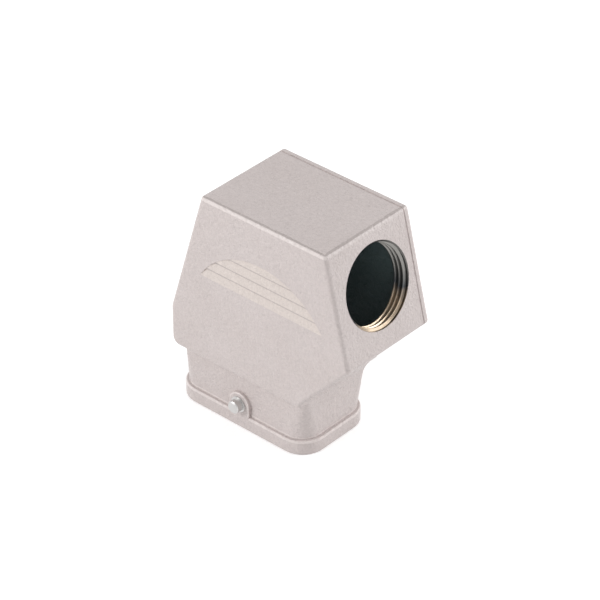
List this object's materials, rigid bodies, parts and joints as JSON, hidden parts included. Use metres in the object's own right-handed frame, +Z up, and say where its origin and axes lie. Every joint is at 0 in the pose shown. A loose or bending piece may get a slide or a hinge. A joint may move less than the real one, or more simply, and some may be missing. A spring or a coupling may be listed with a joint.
{
  "type": "emc connector hood",
  "caption": "Die-cast shielding hood for a rectangular connector, with an angled threaded cable entry, a rounded mating rim and side locking pegs.",
  "frame": {"origin": "middle of the open mating face, on the plane that the rim rests on", "axes": "+Z up through the neck, +X towards the cable entry, +Y along the locking pegs"},
  "size_m": [0.0674, 0.0342, 0.0741],
  "materials": {
    "coated_casting": "light warm grey powder coat with a fine orange-peel texture over an aluminium die casting",
    "peg_steel": "turned steel, satin"
  },
  "bodies": {
    "root": {"hood_shell": "coated_casting", "locking_peg_front": "peg_steel", "locking_peg_rear": "peg_steel"}
  },
  "joints": []
}
